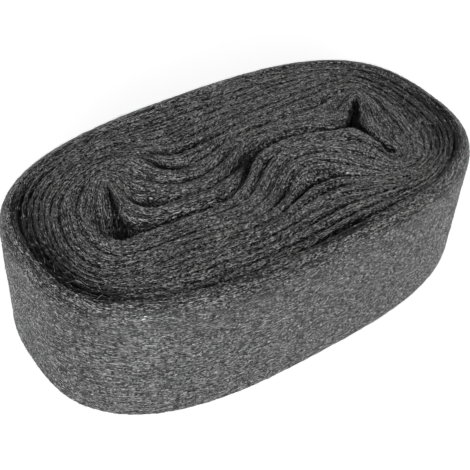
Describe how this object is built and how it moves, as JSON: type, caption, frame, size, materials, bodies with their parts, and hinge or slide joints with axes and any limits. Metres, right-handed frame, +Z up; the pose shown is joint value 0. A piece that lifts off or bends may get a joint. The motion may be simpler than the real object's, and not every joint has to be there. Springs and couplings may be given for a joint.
{
  "type": "steel wool bundle",
  "caption": "Oval bundle of fine steel wool: one wide ribbon folded into an S at its middle and wound flat around that fold.",
  "frame": {"origin": "centre of the underside, on the surface that the bundle lies on", "axes": "+X along the bundle's length, +Y across it away from the picture's near side, +Z up along the ribbon's width"},
  "size_m": [0.24, 0.1384, 0.07],
  "materials": {
    "steel_wool": "dark, matt mat of fine steel fibres with bright glints"
  },
  "bodies": {
    "root": {"steel_wool_ribbon": "steel_wool"}
  },
  "joints": []
}
